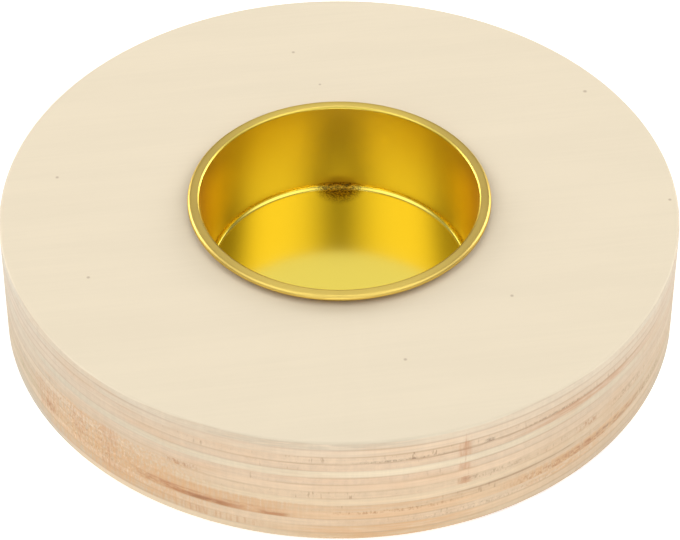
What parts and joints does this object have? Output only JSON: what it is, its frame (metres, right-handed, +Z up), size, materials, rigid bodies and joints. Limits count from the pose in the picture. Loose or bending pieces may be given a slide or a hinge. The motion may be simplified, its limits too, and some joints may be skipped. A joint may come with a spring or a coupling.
{
  "type": "tealight candle holder",
  "caption": "Round plywood disc with a central bore that holds a loose gold-coloured metal cup for a tealight.",
  "frame": {"origin": "centre of the disc's underside, on the disc's axis", "axes": "+Z up along the axis of the disc and the cup; +X to the right and +Y away from the viewer in the picture"},
  "size_m": [0.1, 0.1, 0.0206],
  "materials": {
    "face_veneer": "sanded pale birch face, bare",
    "long_veneer": "sanded edge of a veneer whose grain runs left to right",
    "cross_veneer": "sanded edge of a veneer whose grain runs front to back",
    "cup_metal": "drawn sheet, satin bright, gold coloured"
  },
  "bodies": {
    "disc": {"top_face_veneer": "face_veneer", "core_veneer_02": "long_veneer", "core_veneer_03": "cross_veneer", "core_veneer_04": "cross_veneer", "core_veneer_05": "long_veneer", "core_veneer_06": "cross_veneer", "core_veneer_07": "long_veneer", "core_veneer_08": "cross_veneer", "core_veneer_09": "long_veneer", "core_veneer_10": "cross_veneer", "core_veneer_11": "long_veneer", "core_veneer_12": "cross_veneer", "core_veneer_13": "long_veneer", "bottom_face_veneer": "face_veneer"},
    "cup": {"tealight_cup": "cup_metal"}
  },
  "joints": [
    {"name": "cup_lift", "type": "slide", "parent": "disc", "child": "cup", "axis": [0, 0, 1], "range_m": [0, 0.02]}
  ]
}
